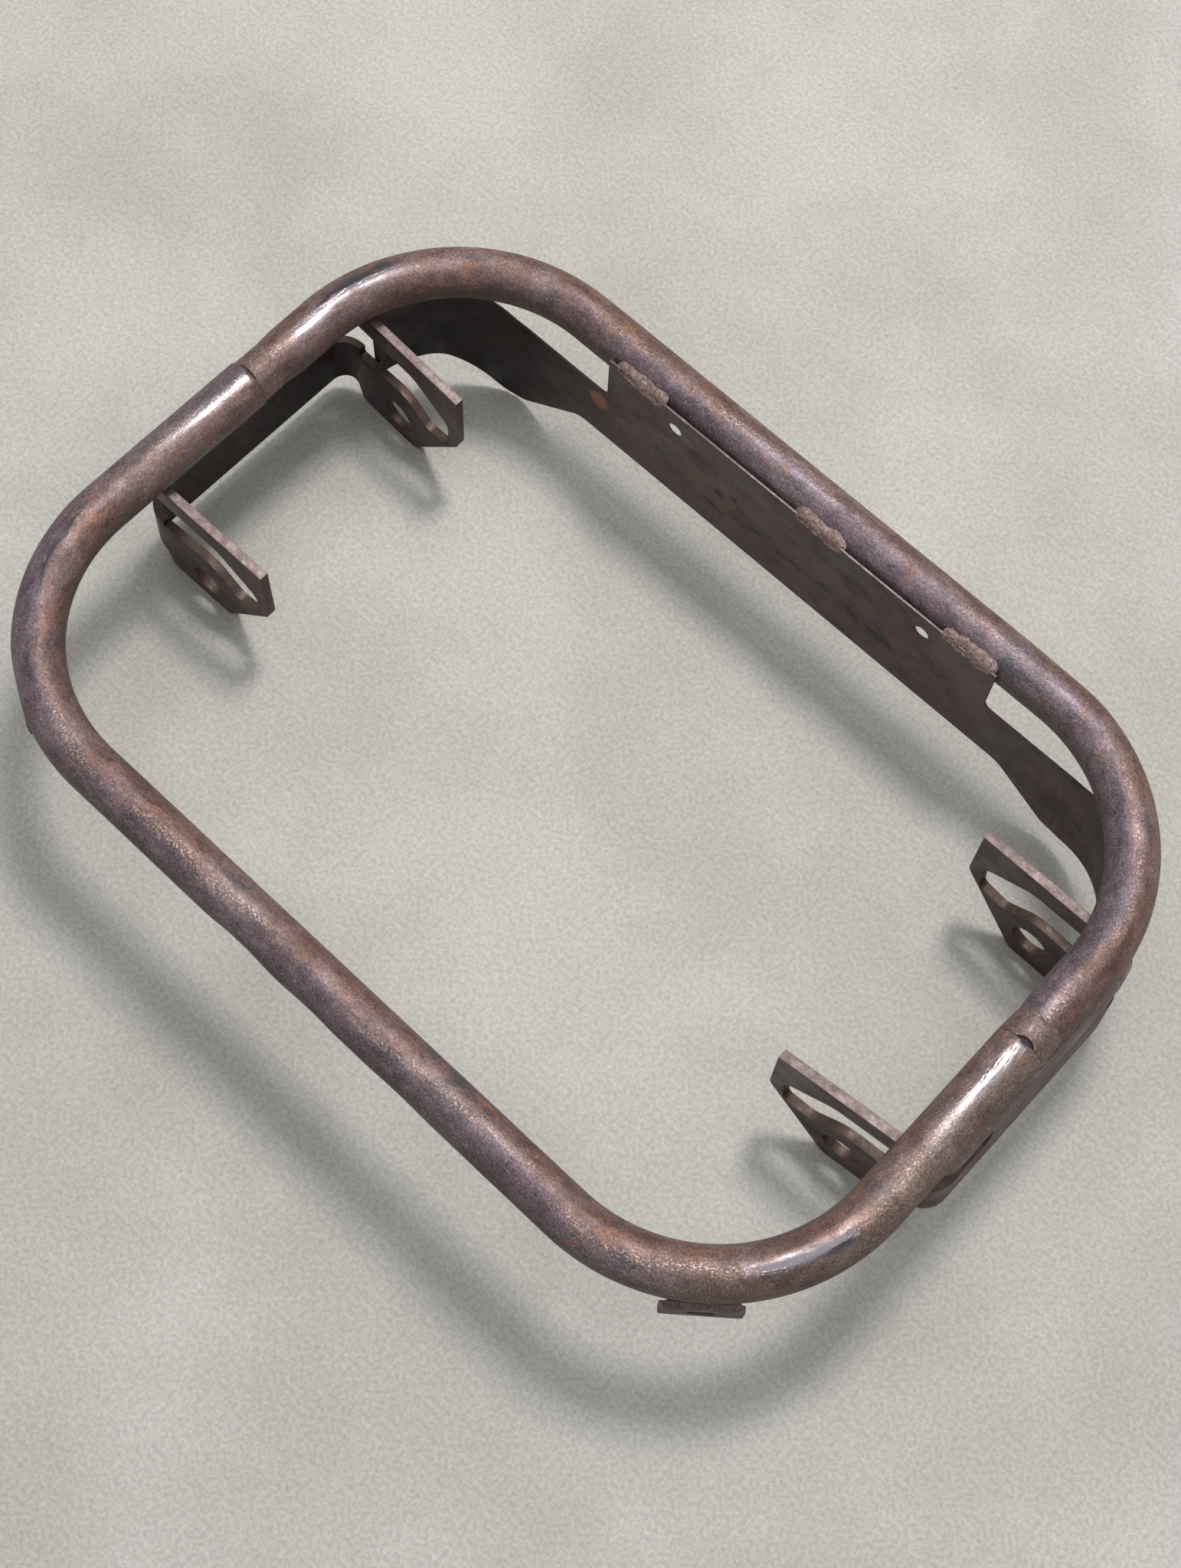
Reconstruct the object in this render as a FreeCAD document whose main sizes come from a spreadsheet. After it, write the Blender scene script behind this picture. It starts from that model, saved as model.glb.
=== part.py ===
import FreeCAD, Part
import math
import os
import re

import Sketcher
from FreeCAD import Placement, Rotation, Vector

# Welded rack hoop for the rear of a small vehicle: a round-cornered rectangle of steel tube carried by two bent
# side brackets, with a formed plate along its rear side and two small strap tabs under its front corners.
# Millimetres. +X runs along the hoop to the right, +Y to the rear, +Z up. The origin is the middle of the
# footprint, on the surface that the bracket ears stand on.

SIZES = [
    # hoop
    ("tube_diameter", 25.4),      # outside diameter of the tube
    ("tube_wall", 1.5),
    ("tube_height", 100.0),       # tube centreline above the standing surface
    ("half_length", 243.6),       # centreline of the short sides, from the middle
    ("half_width", 166.8),        # centreline of the long sides, from the middle
    ("corner_radius", 95.0),      # centreline radius of the hoop's corners
    ("joint_offset", 23.0),       # where the front half ends, behind the middle
    ("neck_diameter", 22.2),      # rear half's ends, drawn down to enter the front half
    ("neck_start", 50.0),         # full diameter ends here
    ("neck_end", 29.0),           # full draw reached here
    ("neck_tip", 5.0),            # how far forward the drawn end reaches inside
    ("joint_weld_width", 4.5),
    ("joint_weld_arc", 290.0),    # degrees of the joint that carry weld; the rest, on top, is open
    ("joint_weld_rise", 0.5),     # how far the weld stands proud of the tube
    # side brackets
    ("bracket_plate", 4.8),       # sheet thickness
    ("bracket_lean", 0.055),      # how far the web moves out for each unit of depth
    ("left_front", 44.0),         # front face of the left front ear at the web, ahead of the middle
    ("left_rear", 99.8),          # rear face of the left rear ear at the web, behind the middle
    ("left_front_splay", 0.0),    # how far an ear's tip leans forward for each unit of its length
    ("left_rear_splay", 0.062),
    ("right_front", 39.6),        # the same four for the right bracket
    ("right_rear", 99.6),
    ("right_front_splay", 0.11),
    ("right_rear_splay", 0.0),
    ("bracket_bend", 9.2),       # inside bend radius
    ("web_top_drop", 9.0),        # web's upper edge below the tube centreline
    ("web_inset", 9.1),           # web's inner face outside the tube centreline, at its upper edge
    ("web_bottom", 15.0),         # web's lower edge above the standing surface
    ("ear_top_drop", 12.8),       # ears' upper edge below the tube centreline
    ("ear_tip", 167.8),           # ears' inner ends, from the middle
    ("ear_tip_bottom", 46.0),     # height where the ear's end turns into its slope
    ("ear_foot_start", 204.0),    # foot edge, inner end
    ("ear_foot_middle", 220.0),
    ("ear_foot_end", 244.0),      # foot edge, outer end
    ("ear_corner", 10.0),         # rounding of the ear's outline
    ("foot_corner", 6.0),         # rounding of the foot's ends
    ("heel_corner", 7.0),         # hollow rounding between the foot and the web's lower edge
    ("heel_width", 4.0),
    ("long_slot_start", 174.5),   # long slot's closed end, from the middle
    ("long_slot_nose", 42.5),     # where the closed end starts, below the tube centreline
    ("long_slot_shoulder", 200.5),
    ("long_slot_top", 27.5),      # long slot's upper edge below the tube centreline
    ("long_slot_bottom", 57.5),   # and its lower edge, at the bend
    ("long_slot_waist", 208.5),   # narrowest place, from the middle
    ("long_slot_waist_drop", 54.0),
    ("long_slot_belly", 191.5),   # lowest place
    ("long_slot_belly_drop", 66.5),
    ("long_slot_chin", 176.5),    # lower corner of the closed end
    ("long_slot_chin_drop", 63.5),
    ("long_slot_corner", 8.0),
    ("long_slot_wave", 18.0),     # rounding of the slot's waist and belly
    ("wrap_reach", 37.0),         # long slot's end in the web, behind the front ear; half as far at the rear
    ("wrap_bottom", 48.0),        # its lower edge there, below the tube centreline
    ("wrap_corner", 6.0),
    ("ear_hole_diameter", 20.0),
    ("left_hole_reach", 215.5),   # ear holes of the left bracket, from the middle
    ("left_hole_height", 18.5),
    ("right_hole_reach", 211.0),
    ("right_hole_height", 22.5),
    # rear plate
    ("sheet_plate", 1.2),
    ("sheet_gap", 1.0),           # between the sheet and the tube, bridged by the welds
    ("sheet_top_rise", 6.7),      # its upper edge above the tube centreline
    ("sheet_reach", 237.0),       # wings' ends from the middle, in the middle of the sheet
    ("sheet_wing_radius", 59.0),  # bend of the wings, in the middle of the sheet
    ("sheet_notch", 123.0),       # where the tall middle part ends
    ("sheet_wing_top", 26.0),     # wings' upper edge below the tube centreline
    ("sheet_rise_start", 185.0),  # the wings' upper edge climbs from here to the underside of the tube
    ("sheet_rise_end", 211.0),
    ("sheet_tube_gap", 0.8),
    ("sheet_middle_drop", 66.0),  # lower edge below the tube centreline, in the middle
    ("sheet_dip_start", 141.0),   # the lower edge dips from here
    ("sheet_dip_end", 222.0),
    ("sheet_end_drop", 73.0),     # lower edge at the wings' ends
    ("left_wing_drop", 97.5),     # and where the left wing is deepest
    ("left_wing_deep", 187.5),    # which is this far from the middle
    ("right_wing_drop", 88.5),
    ("right_wing_deep", 181.5),
    ("wing_deep_half", 6.0),      # half the width of the deepest place
    ("sheet_curve", 14.0),        # rounding of the lower edge
    ("sheet_corner", 4.0),        # rounding of the upper edge
    ("sheet_hole_spacing", 158.75),
    ("sheet_hole_shift", 0.9),    # the pair's middle, to the right of the hoop's
    ("sheet_hole_diameter", 8.3),
    ("sheet_hole_drop", 7.4),
    # front tabs
    ("tab_width", 37.0),
    ("tab_plate", 3.2),
    ("left_tab_top_drop", 9.2),   # tabs' upper edge below the tube centreline
    ("right_tab_top_drop", 6.0),
    ("tab_bottom_drop", 21.5),
    ("left_tab_angle", 58.0),     # degrees from the long axis, seen from the corner's centre
    ("right_tab_angle", 50.5),
    ("tab_corner", 2.5),
    ("tab_slot_length", 12.0),
    ("tab_slot_width", 6.4),
    ("tab_slot_drop", 14.5),
    # weld beads
    ("bead_size", 3.8),           # radius of a bead at its middle
    ("small_bead_size", 2.7),
    ("wing_weld_depth", 0.3),     # how far a wing weld's axis lies inside the ear
    # cutting
    ("spare", 20.0),              # how far a cutting outline runs past the sheet that it cuts
]

# Where the beads start and end: along Y on the brackets, along X on the rear plate, in height on its wings.
BRACKET_BEADS = {"front": (-10, 17), "rear": (31, 67)}
PLATE_BEADS = {"left": (-119, -86), "centre": (-3, 29), "right": (89, 122)}
WING_BEAD = (28, 41)

doc = FreeCAD.newDocument("rear_rack_hoop")
sheet = doc.addObject("Spreadsheet::Sheet", "Sizes")
for row, (alias, size) in enumerate(SIZES, start=1):
    sheet.set(f"A{row}", alias)
    sheet.set(f"B{row}", str(size))
    sheet.setAlias(f"B{row}", alias)
ruler = doc.addObject("App::FeaturePython", "Ruler")
ruler.addProperty("App::PropertyFloat", "Reading")
doc.recompute()

SIDES = {"left": -1, "right": 1}
parts = []


def bound(formula):
    """A formula in the sheet's aliases, as an object outside the sheet refers to them."""
    return re.sub(r"[a-z]\w+", lambda word: f"Sizes.{word[0]}", formula)


def size(formula):
    """The value of a formula in the sheet's aliases, read off an object that is bound to it."""
    ruler.setExpression("Reading", bound(formula))
    ruler.recompute()
    return ruler.Reading


def new_body(label):
    body = doc.addObject("PartDesign::Body", label)
    body.Label = label
    parts.append(body)
    return body


def new_sketch(body, name, plane, offset=None):
    """A sketch on one of the body's own origin planes, moved along its normal by a formula."""
    sketch = body.newObject("Sketcher::SketchObject", name)
    face = next(item for item in body.Origin.OriginFeatures if item.Role == plane)
    sketch.AttachmentSupport = [(face, "")]
    sketch.MapMode = "FlatFace"
    if offset:
        sketch.AttachmentOffset = Placement(Vector(0, 0, size(offset)), Rotation())
        sketch.setExpression("AttachmentOffset.Base.z", bound(offset))
    return sketch


def pin(sketch, kind, geometry, point, formula):
    """Holds one coordinate of a point at a formula's value, measured from the sketch's origin."""
    index = sketch.addConstraint(Sketcher.Constraint(kind, -1, 1, geometry, point, size(formula)))
    sketch.setExpression(f"Constraints[{index}]", bound(formula))


def turn_at(before, corner, after, radius):
    """Arc that rounds a corner, as (start, end, centre, turns left)."""
    inward = (before - corner).normalize()
    onward = (after - corner).normalize()
    half = inward.getAngle(onward) / 2
    reach = radius / math.tan(half)
    centre = corner + (inward + onward).normalize() * (radius / math.sin(half))
    left = (corner - before).cross(after - corner).z > 0
    return corner + inward * reach, corner + onward * reach, centre, left


def draw_arc(sketch, start, end, centre, left):
    """Adds the arc; returns it with the numbers of its first and last points, in outline order."""
    first, last = (start, end) if left else (end, start)
    angles = [math.atan2(point.y - centre.y, point.x - centre.x) for point in (first, last)]
    if angles[1] < angles[0]:
        angles[1] += 2 * math.pi
    circle = Part.Circle(centre, Vector(0, 0, 1), start.distanceToPoint(centre))
    number = sketch.addGeometry(Part.ArcOfCircle(circle, *angles), False)
    return (number, 1, 2) if left else (number, 2, 1)


def draw_outline(sketch, corners):
    """A closed outline of straight sides. Each corner is a pair of formulas, or three with a rounding radius."""
    points = [Vector(size(corner[0]), size(corner[1]), 0) for corner in corners]
    count = len(points)
    arcs = {}
    for number, corner in enumerate(corners):
        if len(corner) == 3:
            after = points[(number + 1) % count]
            arcs[number] = turn_at(points[number - 1], points[number], after, size(corner[2]))
    lines = []
    for number in range(count):
        after = (number + 1) % count
        start = arcs[number][1] if number in arcs else points[number]
        end = arcs[after][0] if after in arcs else points[after]
        lines.append(sketch.addGeometry(Part.LineSegment(start, end), False))
    for number, corner in enumerate(corners):
        before, after = lines[number - 1], lines[number]
        if number not in arcs:
            sketch.addConstraint(Sketcher.Constraint("Coincident", before, 2, after, 1))
            pin(sketch, "DistanceX", after, 1, corner[0])
            pin(sketch, "DistanceY", after, 1, corner[1])
            continue
        arc, first, last = draw_arc(sketch, *arcs[number])
        apex = sketch.addGeometry(Part.Point(points[number]), True)
        sketch.addConstraint([
            Sketcher.Constraint("Tangent", before, 2, arc, first),
            Sketcher.Constraint("Tangent", arc, last, after, 1),
            Sketcher.Constraint("PointOnObject", apex, 1, before),
            Sketcher.Constraint("PointOnObject", apex, 1, after),
        ])
        pin(sketch, "DistanceX", apex, 1, corner[0])
        pin(sketch, "DistanceY", apex, 1, corner[1])
        index = sketch.addConstraint(Sketcher.Constraint("Radius", arc, size(corner[2])))
        sketch.setExpression(f"Constraints[{index}]", bound(corner[2]))


def draw_circle(sketch, across, up, diameter):
    circle = Part.Circle(Vector(size(across), size(up), 0), Vector(0, 0, 1), size(diameter) / 2)
    number = sketch.addGeometry(circle, False)
    pin(sketch, "DistanceX", number, 3, across)
    pin(sketch, "DistanceY", number, 3, up)
    index = sketch.addConstraint(Sketcher.Constraint("Diameter", number, size(diameter)))
    sketch.setExpression(f"Constraints[{index}]", bound(diameter))


def draw_slot(sketch, across, up, length, width):
    """A round-ended slot along the sketch's first axis."""
    reach = f"(({length}) - ({width})) / 2"
    radius = size(width) / 2
    centres = [f"({across}) - {reach}", f"({across}) + {reach}"]
    height = size(up)
    left, right = (Vector(size(centre), height, 0) for centre in centres)
    rise = Vector(0, radius, 0)
    upright = Vector(0, 0, 1)
    quarter = math.pi / 2
    left_end = Part.ArcOfCircle(Part.Circle(left, upright, radius), quarter, 3 * quarter)
    right_end = Part.ArcOfCircle(Part.Circle(right, upright, radius), -quarter, quarter)
    first = sketch.addGeometry(left_end, False)
    lower = sketch.addGeometry(Part.LineSegment(left - rise, right - rise), False)
    second = sketch.addGeometry(right_end, False)
    upper = sketch.addGeometry(Part.LineSegment(right + rise, left + rise), False)
    sketch.addConstraint([
        Sketcher.Constraint("Tangent", first, 2, lower, 1),
        Sketcher.Constraint("Tangent", lower, 2, second, 1),
        Sketcher.Constraint("Tangent", second, 2, upper, 1),
        Sketcher.Constraint("Tangent", upper, 2, first, 1),
        Sketcher.Constraint("Equal", first, second),
        Sketcher.Constraint("Horizontal", lower),
    ])
    for arc, centre in ((first, centres[0]), (second, centres[1])):
        pin(sketch, "DistanceX", arc, 3, centre)
    pin(sketch, "DistanceY", first, 3, up)
    index = sketch.addConstraint(Sketcher.Constraint("Radius", first, radius))
    sketch.setExpression(f"Constraints[{index}]", bound(f"({width}) / 2"))


def pad(body, sketch, height):
    feature = body.newObject("PartDesign::Pad", f"{body.Label}_pad")
    feature.Profile = sketch
    feature.Length = size(height)
    feature.setExpression("Length", bound(height))
    sketch.Visibility = False
    return feature


def pocket(body, sketch, both_ways=True, reverse=False):
    """Cuts the sketch through the whole body, and makes sure that it removed material."""
    doc.recompute()
    before = body.Shape.Volume
    feature = body.newObject("PartDesign::Pocket", f"{sketch.Name}_cut")
    feature.Profile = sketch
    feature.Type = "ThroughAll"
    if both_ways:
        feature.SideType = "Symmetric"
    feature.Reversed = reverse
    doc.recompute()
    if not body.Shape.Volume < before:
        raise RuntimeError(f"{feature.Name} removed nothing")
    return feature


def hoop_path(body, side_start, front):
    """Centreline of half the hoop: out of one short side, round two corners, into the other."""
    sign = -1 if front else 1
    sketch = new_sketch(body, f"{body.Label}_path", "XY_Plane", "tube_height")
    reach = size("half_length")
    width = sign * size("half_width")
    radius = size("corner_radius")
    start = size(side_start)
    corner_y = width - sign * radius
    inner = reach - radius
    upright = Vector(0, 0, 1)
    centres = [Vector(-inner, corner_y, 0), Vector(inner, corner_y, 0)]
    if front:
        spans = [(math.pi, 1.5 * math.pi), (1.5 * math.pi, 2 * math.pi)]
    else:
        spans = [(0.5 * math.pi, math.pi), (0, 0.5 * math.pi)]
    left = sketch.addGeometry(Part.LineSegment(Vector(-reach, start, 0), Vector(-reach, corner_y, 0)), False)
    arcs = []
    for centre, (begin, end) in zip(centres, spans):
        circle = Part.Circle(centre, upright, radius)
        arcs.append(sketch.addGeometry(Part.ArcOfCircle(circle, begin, end), False))
    long_side = sketch.addGeometry(Part.LineSegment(Vector(-inner, width, 0), Vector(inner, width, 0)), False)
    right = sketch.addGeometry(Part.LineSegment(Vector(reach, corner_y, 0), Vector(reach, start, 0)), False)
    first, last = (1, 2) if front else (2, 1)
    sketch.addConstraint([
        Sketcher.Constraint("Tangent", left, 2, arcs[0], first),
        Sketcher.Constraint("Tangent", arcs[0], last, long_side, 1),
        Sketcher.Constraint("Tangent", long_side, 2, arcs[1], first),
        Sketcher.Constraint("Tangent", arcs[1], last, right, 1),
        Sketcher.Constraint("Vertical", left),
        Sketcher.Constraint("Vertical", right),
        Sketcher.Constraint("Horizontal", long_side),
        Sketcher.Constraint("Equal", arcs[0], arcs[1]),
    ])
    index = sketch.addConstraint(Sketcher.Constraint("Radius", arcs[0], radius))
    sketch.setExpression(f"Constraints[{index}]", bound("corner_radius"))
    pin(sketch, "DistanceX", left, 1, "-half_length")
    pin(sketch, "DistanceX", right, 2, "half_length")
    pin(sketch, "DistanceY", left, 1, side_start)
    pin(sketch, "DistanceY", right, 2, side_start)
    pin(sketch, "DistanceY", long_side, 1, "-half_width" if front else "half_width")
    return sketch


def hoop_tube(body, side_start, front):
    """Hollow tube swept along half the hoop."""
    path = hoop_path(body, side_start, front)
    # On the XZ plane the sketch's normal points forward, so its offset counts towards the front.
    section = new_sketch(body, f"{body.Label}_section", "XZ_Plane", f"-({side_start})")
    draw_circle(section, "-half_length", "tube_height", "tube_diameter")
    draw_circle(section, "-half_length", "tube_height", "tube_diameter - 2 * tube_wall")
    pipe = body.newObject("PartDesign::AdditivePipe", f"{body.Label}_sweep")
    pipe.Profile = section
    pipe.Spine = path
    doc.recompute()
    return pipe


def turned_ring(body, name, side, corners, arc=None):
    """
    Turns a section about the axis of one short side; each corner is (distance from the axis, along Y).
    The section hangs under the axis, and a part turn goes equally far both ways from there.
    """
    sketch = new_sketch(body, name, "YZ_Plane", f"{SIDES[side]} * half_length")
    draw_outline(sketch, [(along, f"tube_height - ({out})") for out, along in corners])
    height = size("tube_height")
    number = sketch.addGeometry(Part.LineSegment(Vector(0, height, 0), Vector(size("neck_start"), height, 0)), True)
    pin(sketch, "DistanceX", number, 1, "0")
    pin(sketch, "DistanceY", number, 1, "tube_height")
    pin(sketch, "DistanceX", number, 2, "neck_start")
    pin(sketch, "DistanceY", number, 2, "tube_height")
    feature = body.newObject("PartDesign::Revolution", f"{name}_turn")
    feature.Profile = sketch
    feature.ReferenceAxis = (sketch, ["Axis0"])
    feature.Angle = 360
    if arc:
        feature.Midplane = True
        feature.Angle = size(arc)
        feature.setExpression("Angle", bound(arc))
    doc.recompute()
    return feature


def make_front_hoop():
    body = new_body("front_hoop_tube")
    hoop_tube(body, "joint_offset", front=True)


def make_rear_hoop():
    """The rear half, whose ends are drawn down to slide into the front half."""
    body = new_body("rear_hoop_tube")
    hoop_tube(body, "neck_start", front=False)
    for side in SIDES:
        turned_ring(body, f"{side}_neck", side, [
            ("tube_diameter / 2", "neck_start"),
            ("neck_diameter / 2", "neck_end"),
            ("neck_diameter / 2", "neck_tip"),
            ("neck_diameter / 2 - tube_wall", "neck_tip"),
            ("neck_diameter / 2 - tube_wall", "neck_end"),
            ("tube_diameter / 2 - tube_wall", "neck_start"),
        ])


def make_joint_weld(side):
    """Weld between the front half's end face and the drawn neck that enters it, open on top."""
    body = new_body(f"{side}_joint_weld")
    turned_ring(body, f"{side}_ring", side, [
        ("neck_diameter / 2", "joint_offset"),
        ("tube_diameter / 2 + joint_weld_rise", "joint_offset"),
        ("tube_diameter / 2 + joint_weld_rise", "joint_offset + 0.35 * joint_weld_width"),
        ("tube_diameter / 2 - joint_weld_rise", "joint_offset + 0.8 * joint_weld_width"),
        ("neck_diameter / 2", "joint_offset + joint_weld_width"),
    ], arc="joint_weld_arc")


def make_side_bracket(side):
    """Sheet bent to a U: a web outside the tube's lower flank and an ear turned inward at each end."""
    sign = SIDES[side]
    body = new_body(f"{side}_side_bracket")
    web_in = f"{sign} * (half_length + web_inset)"
    web_out = f"{sign} * (half_length + web_inset + bracket_plate)"
    blank = f"{sign} * (ear_tip - spare)"
    front = f"{side}_front"
    rear = f"{side}_rear"
    front_lean = f"{side}_front_splay * (half_length + web_inset - ear_tip + spare)"
    rear_lean = f"{side}_rear_splay * (half_length + web_inset - ear_tip + spare)"
    plan = new_sketch(body, f"{side}_bracket_plan", "XY_Plane", "tube_height - web_top_drop")
    draw_outline(plan, [
        (blank, f"-{front} - {front_lean}"),
        (web_out, f"-{front}", "bracket_bend + bracket_plate"),
        (web_out, rear, "bracket_bend + bracket_plate"),
        (blank, f"{rear} - {rear_lean}"),
        (blank, f"{rear} - bracket_plate - {rear_lean}"),
        (web_in, f"{rear} - bracket_plate", "bracket_bend"),
        (web_in, f"bracket_plate - {front}", "bracket_bend"),
        (blank, f"bracket_plate - {front} - {front_lean}"),
    ])
    block = pad(body, plan, "tube_height - web_top_drop")
    block.UseCustomVector = True
    block.Direction = Vector(sign * size("bracket_lean"), 0, -1)
    block.setExpression("Direction.x", bound(f"{sign} * bracket_lean"))
    block.AlongSketchNormal = True

    beyond = f"{sign} * (ear_tip - 2 * spare)"
    outside = f"{sign} * (half_length + 3 * spare)"
    ears = new_sketch(body, f"{side}_ear_outline", "XZ_Plane")
    draw_outline(ears, [
        (beyond, "-spare"),
        (beyond, "tube_height"),
        (f"{sign} * ear_tip", "tube_height"),
        (f"{sign} * ear_tip", "ear_tip_bottom", "ear_corner"),
        (f"{sign} * ear_foot_start", "0", "foot_corner"),
        (f"{sign} * ear_foot_middle", "0"),
        (f"{sign} * ear_foot_middle", "-spare"),
    ])
    pocket(body, ears)
    heel = new_sketch(body, f"{side}_heel", "XZ_Plane")
    draw_outline(heel, [
        (f"{sign} * ear_foot_middle", "-spare"),
        (f"{sign} * ear_foot_middle", "0"),
        (f"{sign} * ear_foot_end", "0", "foot_corner"),
        (f"{sign} * (ear_foot_end + heel_width)", "web_bottom", "heel_corner"),
        (outside, "web_bottom"),
        (outside, "-spare"),
    ])
    pocket(body, heel)
    shoulder = new_sketch(body, f"{side}_shoulder", "XZ_Plane")
    step = f"{sign} * (half_length + web_inset)"
    draw_outline(shoulder, [
        (beyond, "tube_height - ear_top_drop"),
        (step, "tube_height - ear_top_drop"),
        (step, "tube_height"),
        (beyond, "tube_height"),
    ])
    pocket(body, shoulder)

    long_slot = new_sketch(body, f"{side}_long_slot", "XZ_Plane")
    draw_outline(long_slot, [
        (f"{sign} * long_slot_start", "tube_height - long_slot_nose", "long_slot_corner"),
        (f"{sign} * long_slot_shoulder", "tube_height - long_slot_top", "long_slot_wave"),
        (f"{sign} * ear_foot_end", "tube_height - long_slot_top"),
        (f"{sign} * ear_foot_end", "tube_height - long_slot_bottom"),
        (f"{sign} * long_slot_waist", "tube_height - long_slot_waist_drop", "long_slot_wave"),
        (f"{sign} * long_slot_belly", "tube_height - long_slot_belly_drop", "long_slot_corner"),
        (f"{sign} * long_slot_chin", "tube_height - long_slot_chin_drop", "long_slot_corner / 2"),
    ])
    pocket(body, long_slot)
    ear_holes = new_sketch(body, f"{side}_ear_holes", "XZ_Plane")
    draw_circle(ear_holes, f"{sign} * {side}_hole_reach", f"{side}_hole_height", "ear_hole_diameter")
    pocket(body, ear_holes)

    for end, before, inside in (("front", f"-({front} + spare)", f"wrap_reach - {front}"),
                                ("rear", f"{rear} + spare", f"{rear} - 0.5 * wrap_reach")):
        wrap = new_sketch(body, f"{side}_{end}_wrap", "YZ_Plane", f"{sign} * (ear_foot_end - 1)")
        draw_outline(wrap, [
            (before, "tube_height - long_slot_top"),
            (inside, "tube_height - long_slot_top", "wrap_corner"),
            (inside, "tube_height - wrap_bottom", "wrap_corner"),
            (before, "tube_height - long_slot_bottom"),
        ])
        pocket(body, wrap, both_ways=False, reverse=sign > 0)


def make_rear_plate():
    """Formed sheet along the inner side of the rear tube; its wings follow the rear corners to the ears."""
    body = new_body("rear_plate")
    back = "half_width - tube_diameter / 2 - sheet_gap"
    face = f"{back} - sheet_plate"
    wing_out = "sheet_reach + sheet_plate / 2"
    wing_in = "sheet_reach - sheet_plate / 2"
    outer_bend = "sheet_wing_radius + sheet_plate / 2"
    inner_bend = "sheet_wing_radius - sheet_plate / 2"
    before_end = "left_rear - spare"

    def wing_end(side):
        """Where a wing meets the rear face of its bracket's ear."""
        return f"{side}_rear - {side}_rear_splay * (half_length + web_inset - sheet_reach)"

    plan = new_sketch(body, "sheet_plan", "XY_Plane")
    draw_outline(plan, [
        (f"-({wing_out})", before_end),
        (f"-({wing_out})", back, outer_bend),
        (wing_out, back, outer_bend),
        (wing_out, before_end),
        (wing_in, before_end),
        (wing_in, face, inner_bend),
        (f"-({wing_in})", face, inner_bend),
        (f"-({wing_in})", before_end),
    ])
    pad(body, plan, "tube_height + sheet_top_rise")
    for side, sign in SIDES.items():
        end = new_sketch(body, f"{side}_wing_end", "XY_Plane")
        draw_outline(end, [
            (f"{sign} * (sheet_reach - spare)", "left_rear - 2 * spare"),
            (f"{sign} * (sheet_reach + spare)", "left_rear - 2 * spare"),
            (f"{sign} * (sheet_reach + spare)", wing_end(side)),
            (f"{sign} * (sheet_reach - spare)", wing_end(side)),
        ])
        pocket(body, end)

    def lower_half(side, sign):
        """Corners of the lower edge on one side, from the middle out."""
        deep = f"{side}_wing_deep"
        corners = [("sheet_dip_start", "sheet_middle_drop"), (f"{deep} - wing_deep_half", f"{side}_wing_drop"),
                   (f"{deep} + wing_deep_half", f"{side}_wing_drop"), ("sheet_dip_end", "sheet_end_drop")]
        half = [(f"{sign} * ({out})", f"tube_height - {drop}", "sheet_curve") for out, drop in corners]
        half.append((f"{sign} * (sheet_reach + spare)", "tube_height - sheet_end_drop"))
        half.append((f"{sign} * (sheet_reach + spare)", "-spare"))
        return half

    below = new_sketch(body, "sheet_lower_edge", "XZ_Plane")
    draw_outline(below, lower_half("left", -1)[::-1] + lower_half("right", 1))
    pocket(body, below)

    clear_top = "tube_height + sheet_top_rise + spare"
    wing_top = "tube_height - sheet_wing_top"
    under_tube = "tube_height - tube_diameter / 2 - sheet_tube_gap"
    for side, sign in SIDES.items():
        above = new_sketch(body, f"sheet_{side}_upper_edge", "XZ_Plane")
        draw_outline(above, [
            (f"{sign} * sheet_notch", clear_top),
            (f"{sign} * sheet_notch", wing_top, "sheet_corner"),
            (f"{sign} * sheet_rise_start", wing_top, "sheet_curve"),
            (f"{sign} * sheet_rise_end", under_tube, "sheet_curve"),
            (f"{sign} * (sheet_reach + spare)", under_tube),
            (f"{sign} * (sheet_reach + spare)", clear_top),
        ])
        pocket(body, above)

    holes = new_sketch(body, "sheet_holes", "XZ_Plane")
    for sign in SIDES.values():
        across = f"sheet_hole_shift + {sign} * sheet_hole_spacing / 2"
        draw_circle(holes, across, "tube_height - sheet_hole_drop", "sheet_hole_diameter")
    pocket(body, holes)


def make_front_tab(side):
    """Small slotted plate on the lower outer flank of a front corner."""
    body = new_body(f"front_{side}_tab")
    face = new_sketch(body, f"{side}_tab_face", "XZ_Plane")
    draw_outline(face, [
        ("-tab_width / 2", "-tab_bottom_drop", "tab_corner"),
        ("tab_width / 2", "-tab_bottom_drop", "tab_corner"),
        ("tab_width / 2", f"-{side}_tab_top_drop"),
        ("-tab_width / 2", f"-{side}_tab_top_drop"),
    ])
    pad(body, face, "tab_plate")
    slot = new_sketch(body, f"{side}_tab_slot", "XZ_Plane")
    draw_slot(slot, "0", "-tab_slot_drop", "tab_slot_length", "tab_slot_width")
    pocket(body, slot)
    body.Placement = on_front_corner(side)


def on_front_corner(side):
    """Placement whose -Y axis points out of a front corner, from where the tab's upper edge meets the tube."""
    sign = SIDES[side]
    drop = size(f"{side}_tab_top_drop")
    angle = math.radians(size(f"{side}_tab_angle"))
    radius = size("corner_radius")
    tube = size("tube_diameter") / 2
    flank = math.sqrt(tube ** 2 - drop ** 2)
    centre = Vector(sign * (size("half_length") - radius), radius - size("half_width"), size("tube_height"))
    outward = Vector(sign * math.cos(angle), -math.sin(angle), 0)
    turn = Rotation(Vector(0, -1, 0), outward)
    return Placement(centre + outward * (radius + flank), turn)


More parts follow.
